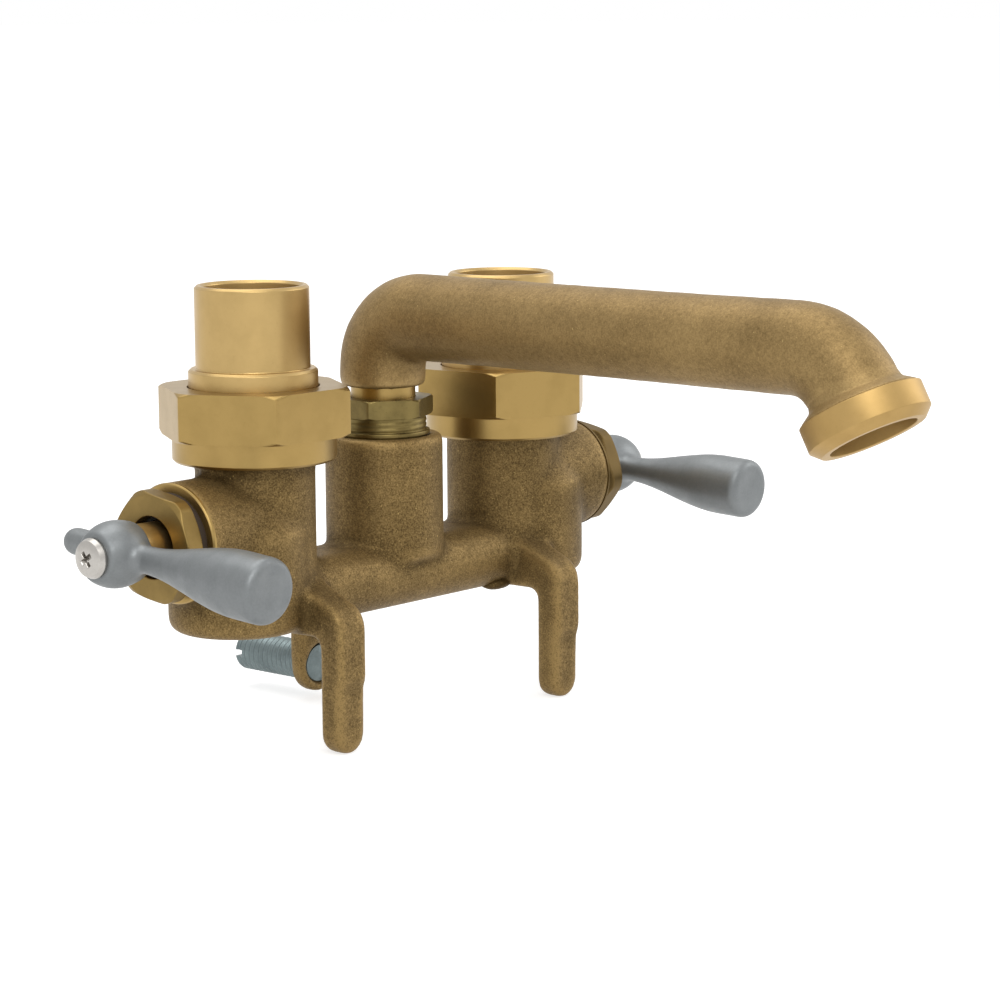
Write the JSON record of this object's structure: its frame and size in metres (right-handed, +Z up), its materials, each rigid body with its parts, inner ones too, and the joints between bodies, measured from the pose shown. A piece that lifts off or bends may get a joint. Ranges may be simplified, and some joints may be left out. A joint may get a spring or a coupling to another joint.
{
  "type": "utility sink faucet",
  "caption": "Rough cast brass tub faucet that straddles a rim, with a swinging spout, lever handles on compression valves and union inlets for soldered supply tubes.",
  "frame": {"origin": "middle of the rim seat, the flat underside of the bridge between the two valve bodies", "axes": "+Z up, -Y towards the user along the spout, X along the line of the two valves with the left valve at -X"},
  "size_m": [0.1888, 0.1977, 0.1057],
  "materials": {
    "cast_brass": "rough sand-cast brass, tumbled",
    "turned_brass": "turned brass, satin",
    "dark_brass": "dark aged brass",
    "grey_metal": "satin tumbled die-cast metal",
    "stainless": "bright stainless",
    "zinc": "blue zinc plate",
    "rubber": "black rubber",
    "fibre": "red-brown fibre gasket"
  },
  "bodies": {
    "faucet_body": {"body_casting": "cast_brass", "left_valve_seat": "turned_brass", "right_valve_seat": "turned_brass", "left_bonnet": "turned_brass", "right_bonnet": "turned_brass", "left_bonnet_gasket": "fibre", "right_bonnet_gasket": "fibre", "left_packing": "rubber", "right_packing": "rubber", "left_union_nut": "turned_brass", "right_union_nut": "turned_brass", "left_union_gasket": "fibre", "right_union_gasket": "fibre", "left_tailpiece": "turned_brass", "right_tailpiece": "turned_brass", "spout_nut": "dark_brass"},
    "left_washer": {"left_seat_washer": "rubber"},
    "left_valve_handle": {"left_stem": "turned_brass", "left_washer_screw": "turned_brass", "left_handle": "grey_metal", "left_handle_screw": "stainless"},
    "right_washer": {"right_seat_washer": "rubber"},
    "right_valve_handle": {"right_stem": "turned_brass", "right_washer_screw": "turned_brass", "right_handle": "grey_metal", "right_handle_screw": "stainless"},
    "swing_spout": {"spout": "cast_brass", "spout_shank": "turned_brass", "outlet_collar": "turned_brass", "spout_retaining_ring": "stainless", "spout_o_ring": "rubber"},
    "rim_clamp_screw": {"clamp_screw": "zinc"}
  },
  "joints": [
    {"name": "left_stem_rise", "type": "slide", "parent": "faucet_body", "child": "left_washer", "axis": [-1, 0, 0], "range_m": [0, 0.00201]},
    {"name": "left_handle_turn", "type": "hinge", "parent": "left_washer", "child": "left_valve_handle", "pos_m": [-0.084, 0, 0.0234], "axis": [-1, 0, 0], "range_deg": [0, 180]},
    {"name": "right_stem_rise", "type": "slide", "parent": "faucet_body", "child": "right_washer", "axis": [1, 0, 0], "range_m": [0, 0.00201]},
    {"name": "right_handle_turn", "type": "hinge", "parent": "right_washer", "child": "right_valve_handle", "pos_m": [0.084, 0, 0.0234], "axis": [-1, 0, 0], "range_deg": [0, 180]},
    {"name": "spout_swing", "type": "hinge", "parent": "faucet_body", "child": "swing_spout", "pos_m": [0, 0, 0.045], "axis": [0, 0, 1], "range_deg": [-50, 50]},
    {"name": "clamp_screw_travel", "type": "slide", "parent": "faucet_body", "child": "rim_clamp_screw", "axis": [0, -1, 0], "range_m": [0, 0.018]}
  ],
  "couplings": [
    {"joint": "left_stem_rise", "follows": "left_handle_turn", "m_per_rad": 0.00063662},
    {"joint": "right_stem_rise", "follows": "right_handle_turn", "m_per_rad": 0.00063662}
  ]
}
